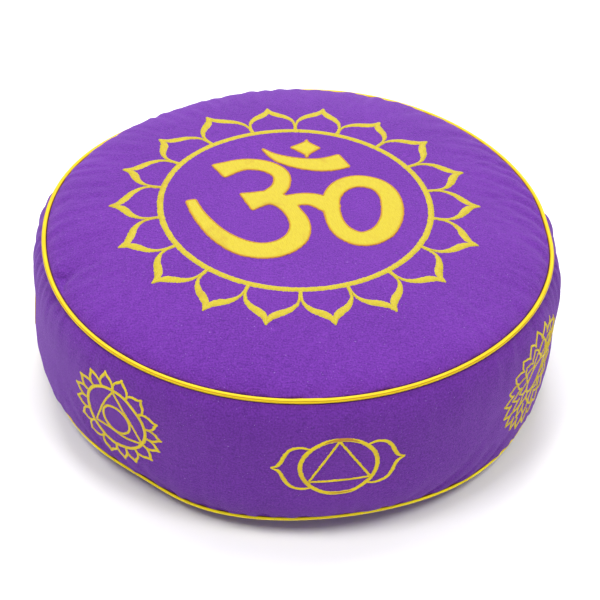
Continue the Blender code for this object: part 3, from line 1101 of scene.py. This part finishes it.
class Nodes:
    """A material and a short way to add and link its nodes."""

    def __init__(self, name):
        self.material = bpy.data.materials.new(name)
        self.material.use_nodes = True
        self.tree = self.material.node_tree
        self.shader = self.tree.nodes["Principled BSDF"]

    def add(self, kind, inputs, output, **settings):
        node = self.tree.nodes.new(kind)
        for key, value in settings.items():
            setattr(node, key, value)
        for key, value in inputs.items():
            if isinstance(value, bpy.types.NodeSocket):
                self.tree.links.new(value, node.inputs[key])
            else:
                node.inputs[key].default_value = value
        return node.outputs[output]

    def link(self, socket, name):
        self.tree.links.new(socket, self.shader.inputs[name])

    def set(self, **values):
        for name, value in values.items():
            self.shader.inputs[name.replace("_", " ")].default_value = value

    def cloth_place(self):
        return self.add("ShaderNodeUVMap", {}, "UV", uv_map="weave")

    def solid_place(self):
        return self.add("ShaderNodeTexCoord", {}, "Object")

    def stretched(self, place, scale):
        inputs = {"Vector": place, "Scale": scale}
        return self.add("ShaderNodeMapping", inputs, "Vector")

    def noise(self, place, scale, detail=2.0):
        inputs = {"Vector": place, "Scale": scale, "Detail": detail}
        return self.add("ShaderNodeTexNoise", inputs, "Fac")

    def threads(self, place, period, direction, uneven=0.0):
        scale = 2 * math.pi / (20.0 * period)
        inputs = {"Vector": place, "Scale": scale, "Distortion": uneven, "Detail": 1.0}
        return self.add("ShaderNodeTexWave", inputs, "Fac", bands_direction=direction)

    def math(self, operation, first, second):
        return self.add("ShaderNodeMath", {0: first, 1: second}, "Value", operation=operation)

    def sum(self, *terms):
        """Values added up, each with its own weight."""
        parts = [self.math("MULTIPLY", value, weight) for value, weight in terms]
        total = parts[0]
        for part in parts[1:]:
            total = self.math("ADD", total, part)
        return total

    def spread(self, value, low, high, to_low=0.0, to_high=1.0):
        inputs = {"Value": value, 1: low, 2: high, 3: to_low, 4: to_high}
        return self.add("ShaderNodeMapRange", inputs, "Result")

    def mix(self, share, first, second):
        inputs = {0: share, 6: first, 7: second}
        return self.add("ShaderNodeMix", inputs, 2, data_type="RGBA")

    def bump(self, height, distance, strength=1.0):
        inputs = {"Height": height, "Distance": distance, "Strength": strength}
        self.link(self.add("ShaderNodeBump", inputs, "Normal"), "Normal")


def cloth_material():
    """Brushed purple cotton: fine weave, short nap, slubs and a little lint."""
    make = Nodes("purple_cotton")
    weave_place = make.cloth_place()
    place = make.solid_place()
    patches = make.noise(place, 16.0)
    nap = make.noise(place, 950.0, 3.0)
    slubs = make.noise(make.stretched(weave_place, (140.0, 1300.0, 1.0)), 1.0, 2.0)
    warp = make.threads(weave_place, 0.0007, "X", 0.6)
    weft = make.threads(weave_place, 0.0007, "Y", 0.6)
    weave = make.math("MULTIPLY", warp, weft)
    fleck = make.spread(nap, 0.30, 0.70)
    streak = make.spread(slubs, 0.30, 0.70)
    shade = make.sum((fleck, 0.70), (streak, 0.24), (patches, 0.34))
    colour = make.mix(shade, CLOTH_DARK, CLOTH_LIGHT)
    lint = make.spread(make.noise(place, 1300.0, 0.0), 0.82, 0.86, 0.0, 0.35)
    make.link(make.mix(lint, colour, LINT_COLOUR), "Base Color")
    make.bump(make.sum((weave, 0.35), (nap, 0.8), (slubs, 0.35)), 0.0006, 0.8)
    make.set(Roughness=0.92, Sheen_Weight=0.30, Sheen_Roughness=0.45, Sheen_Tint=SHEEN_COLOUR)
    make.set(Specular_IOR_Level=0.15)
    return make.material


def satin_material(name, dark, light, cord):
    """Yellow satin with its fine threads along the cord, with painted shade down in the seam and
    along its fold.
    """
    make = Nodes(name)
    place = make.cloth_place()
    round_cord = make.add("ShaderNodeSeparateXYZ", {"Vector": place}, "Y")
    turn = make.math("DIVIDE", round_cord, PIPING_RADIUS[cord])
    turn = make.math("SUBTRACT", turn, math.radians(PIPING_FACES[cord]))
    facing = make.math("COSINE", turn, 0.0)
    # Painted shade: the satin is darkened towards brown where the cord goes down into the seam
    painted_seam_shade = make.spread(facing, SATIN_PAINTED_SHADE_FROM, SATIN_PAINTED_SHADE_TO, 1.0, 0.0)
    # Painted shade: a thin darker line along the satin's fold
    painted_crease_shade = make.math("COSINE", make.math("ADD", turn, SATIN_CREASE), 0.0)
    painted_crease_shade = make.spread(painted_crease_shade, *SATIN_CREASE_EDGES, 0.0, SATIN_CREASE_SHADE_SHARE)
    painted_seam_shade = make.math("MAXIMUM", painted_seam_shade, painted_crease_shade)
    threads = make.noise(make.stretched(place, (60.0, 2600.0, 1.0)), 1.0, 2.0)
    colour = make.mix(make.spread(threads, 0.25, 0.75), dark, light)
    make.link(make.mix(painted_seam_shade, colour, SATIN_PAINTED_SHADE), "Base Color")
    make.bump(threads, 0.0002, 0.6)
    make.set(Roughness=0.5, Specular_IOR_Level=0.2, Anisotropic=0.4)
    return make.material


def thread_material(name, dark, light):
    """Shiny embroidery thread, stitched across each stroke."""
    make = Nodes(name)
    place = make.cloth_place()
    solid = make.solid_place()
    threads = make.threads(place, 0.00055, "X", 1.2)
    tension = make.noise(make.stretched(place, (1500.0, 220.0, 1.0)), 1.0, 2.0)
    shade = make.sum((threads, 0.45), (tension, 0.55))
    colour = make.mix(make.spread(shade, 0.2, 0.8), dark, light)
    # browner patches laid at random over the thread
    browner_patches = make.spread(make.noise(solid, 55.0, 3.0), 0.60, 0.78, 0.0, 0.55)
    make.link(make.mix(browner_patches, colour, THREAD_PATCH), "Base Color")
    make.bump(shade, 0.0003, 0.7)
    make.set(Roughness=0.55, Specular_IOR_Level=0.3)
    return make.material


def make_camera():
    data = bpy.data.cameras.new("view")
    data.lens = CAMERA_LENS
    data.sensor_width = CAMERA_SENSOR
    data.sensor_fit = "HORIZONTAL"
    camera = linked("view", data)
    rise = math.radians(CAMERA_ELEVATION)
    target = Vector(CAMERA_TARGET)
    away = Vector((0.0, -math.cos(rise), math.sin(rise)))
    turned = (-away).to_track_quat("-Z", "Y").to_matrix().to_4x4()
    roll = Matrix.Rotation(math.radians(CAMERA_ROLL), 4, "Z")
    camera.matrix_world = Matrix.Translation(target + CAMERA_DISTANCE * away) @ turned @ roll
    bpy.context.scene.camera = camera


def make_floor():
    mesh = bpy.data.meshes.new("floor")
    corners = [(-1, -1, 0), (1, -1, 0), (1, 1, 0), (-1, 1, 0)]
    mesh.from_pydata([FLOOR_REACH * Vector(c) for c in corners], [], [(0, 1, 2, 3)])
    floor = linked("floor", mesh)
    material = bpy.data.materials.new("floor_white")
    material.use_nodes = True
    shader = material.node_tree.nodes["Principled BSDF"]
    shader.inputs["Base Color"].default_value = FLOOR_WHITE
    shader.inputs["Roughness"].default_value = 0.8
    mesh.materials.append(material)


def make_lights():
    for name, azimuth, elevation, distance, size, power in LIGHTS:
        data = bpy.data.lights.new(name, "AREA")
        data.size = size
        data.energy = power
        light = linked(name, data)
        rise = math.radians(elevation)
        spot = polar_place(azimuth, distance * math.cos(rise), distance * math.sin(rise))
        light.location = Vector(spot)
        light.rotation_euler = (-Vector(spot)).to_track_quat("-Z", "Y").to_euler()
    world = bpy.data.worlds.new("studio")
    world.use_nodes = True
    inputs = world.node_tree.nodes["Background"].inputs
    inputs["Color"].default_value = (1.0, 1.0, 1.0, 1.0)
    inputs["Strength"].default_value = WORLD_STRENGTH
    bpy.context.scene.world = world
    bpy.context.scene.view_settings.view_transform = "Standard"


body = make_body()
cloth_tree = BVHTree.FromObject(body, bpy.context.evaluated_depsgraph_get())
threads = thread_material("yellow_thread", THREAD_DARK, THREAD_LIGHT)
gold = thread_material("golden_thread", GOLD_DARK, GOLD_LIGHT)
edging = thread_material("orange_thread", EDGING_DARK, EDGING_LIGHT)
make_om(cloth_tree, threads, edging)
make_top_ring(cloth_tree, gold)
side = thread_material("side_thread", SIDE_DARK, SIDE_LIGHT)
make_side_emblems(cloth_tree, side, edging)
make_piping("piping_top", "yellow_satin", SATIN_DARK, SATIN_LIGHT)
# The bottom cord takes the brighter satin: painted light
make_piping("piping_bottom", "yellow_satin_painted_lit", PAINTED_LIT_SATIN_DARK, PAINTED_LIT_SATIN_LIGHT)
make_floor()
make_lights()
make_camera()
